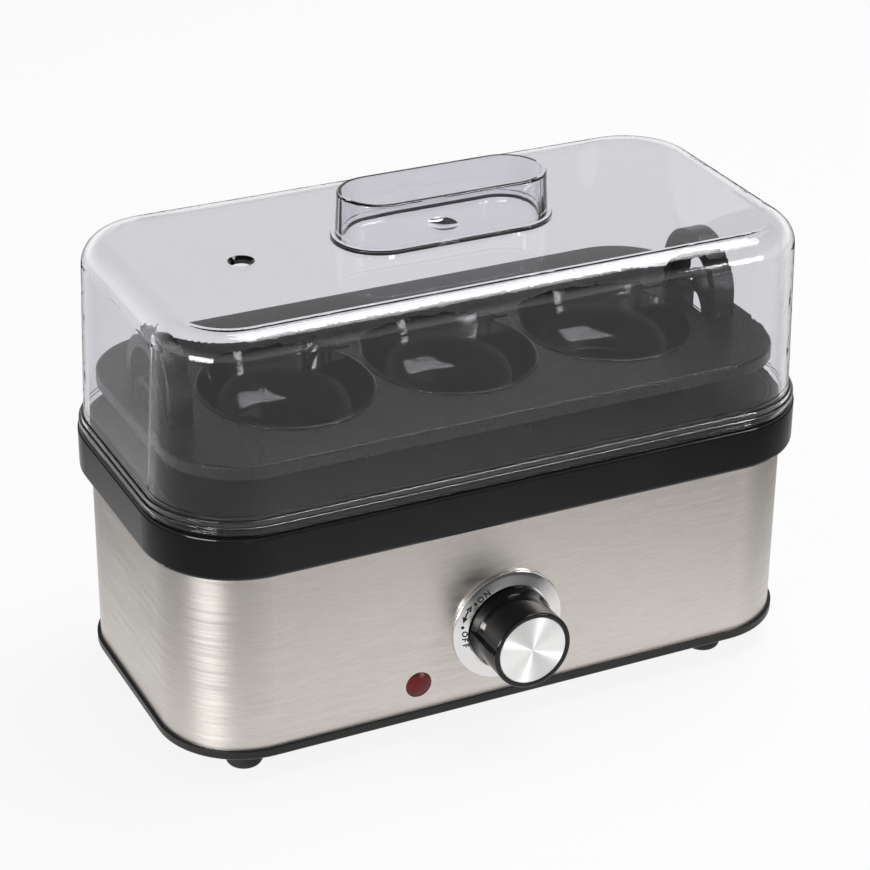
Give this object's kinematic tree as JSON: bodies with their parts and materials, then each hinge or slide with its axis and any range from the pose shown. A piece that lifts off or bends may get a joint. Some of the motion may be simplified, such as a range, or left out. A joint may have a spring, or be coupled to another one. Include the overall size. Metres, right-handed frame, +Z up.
{
  "type": "electric egg boiler",
  "caption": "Counter-top electric egg boiler: brushed steel sleeve, black collar and foot, clear lift-off lid with ring handle, poaching tray over an egg rack, rotary switch and pilot lamp.",
  "frame": {"origin": "on the table under the feet, under the middle of the object's bounding box, knob included", "axes": "+X along the long side, to the right seen from the knob; +Y to the rear, the knob faces -Y; +Z up"},
  "size_m": [0.2278, 0.1306, 0.168],
  "materials": {
    "black_gloss": "glossy black moulded plastic",
    "black_satin": "satin black moulded plastic",
    "brushed_steel": "horizontally brushed stainless steel",
    "dish_steel": "drawn stainless steel",
    "clear_plastic": "clear polished plastic",
    "aluminium": "spun aluminium",
    "plated": "bright plated plastic",
    "red_lens": "translucent red",
    "rubber": "soft black rubber",
    "silicone": "red silicone",
    "zinc_steel": "zinc-plated steel",
    "brass": "bright brass",
    "element_sheath": "dark steel sheath",
    "white_plastic": "white moulded plastic",
    "ceramic_body": "light phenolic",
    "wire_brown": "brown wire sleeve",
    "wire_blue": "blue wire sleeve",
    "wire_green": "green and yellow wire sleeve",
    "wire_white": "white glass-fibre wire sleeve"
  },
  "bodies": {
    "base": {"base_pan": "black_satin", "foot_front_left": "rubber", "foot_front_right": "rubber", "foot_rear_left": "rubber", "foot_rear_right": "rubber", "body_screws": "zinc_steel", "housing_sleeve": "brushed_steel", "collar": "black_gloss", "water_dish": "dish_steel", "dish_seal": "silicone", "dish_screws": "zinc_steel", "heating_element": "element_sheath", "element_pins": "zinc_steel", "dish_stud": "zinc_steel", "clamp_bar": "zinc_steel", "clamp_strip": "zinc_steel", "heat_shield": "zinc_steel", "earth_tag": "brass", "stud_nut": "zinc_steel", "thermostat": "ceramic_body", "thermal_fuse": "plated", "dial_ring": "plated", "rotary_switch": "black_satin", "switch_washer": "zinc_steel", "switch_nut": "zinc_steel", "lamp_lens": "red_lens", "lamp_holder": "white_plastic", "lamp_clip": "zinc_steel", "cord_gland": "rubber", "terminal_block": "white_plastic", "terminal_screws": "brass", "wire_live": "wire_brown", "wire_switched": "wire_white", "wire_thermostat": "wire_white", "wire_element": "wire_white", "wire_neutral": "wire_blue", "wire_earth": "wire_green", "lamp_leads": "wire_white"},
    "lid": {"lid": "clear_plastic"},
    "tray": {"poaching_tray": "black_satin", "poaching_cup_left": "black_gloss", "poaching_cup_middle": "black_gloss", "poaching_cup_right": "black_gloss"},
    "rack": {"egg_rack": "black_satin"},
    "knob": {"knob_body": "black_gloss", "knob_cap": "aluminium", "knob_clip": "zinc_steel", "switch_shaft": "white_plastic"}
  },
  "joints": [
    {"name": "lid_lift", "type": "slide", "parent": "base", "child": "lid", "axis": [0, 0, 1], "range_m": [0, 0.12]},
    {"name": "tray_lift", "type": "slide", "parent": "base", "child": "tray", "axis": [0, 0, 1], "range_m": [0, 0.06]},
    {"name": "rack_lift", "type": "slide", "parent": "base", "child": "rack", "axis": [0, 0, 1], "range_m": [0, 0.03]},
    {"name": "knob_turn", "type": "hinge", "parent": "base", "child": "knob", "pos_m": [-0.002, -0.0466, 0.0355], "axis": [0, 1, 0], "range_deg": [0, 30]}
  ],
  "couplings": [
    {"joint": "tray_lift", "follows": "lid_lift", "ratio": 0.5},
    {"joint": "rack_lift", "follows": "lid_lift", "ratio": 0.25}
  ]
}
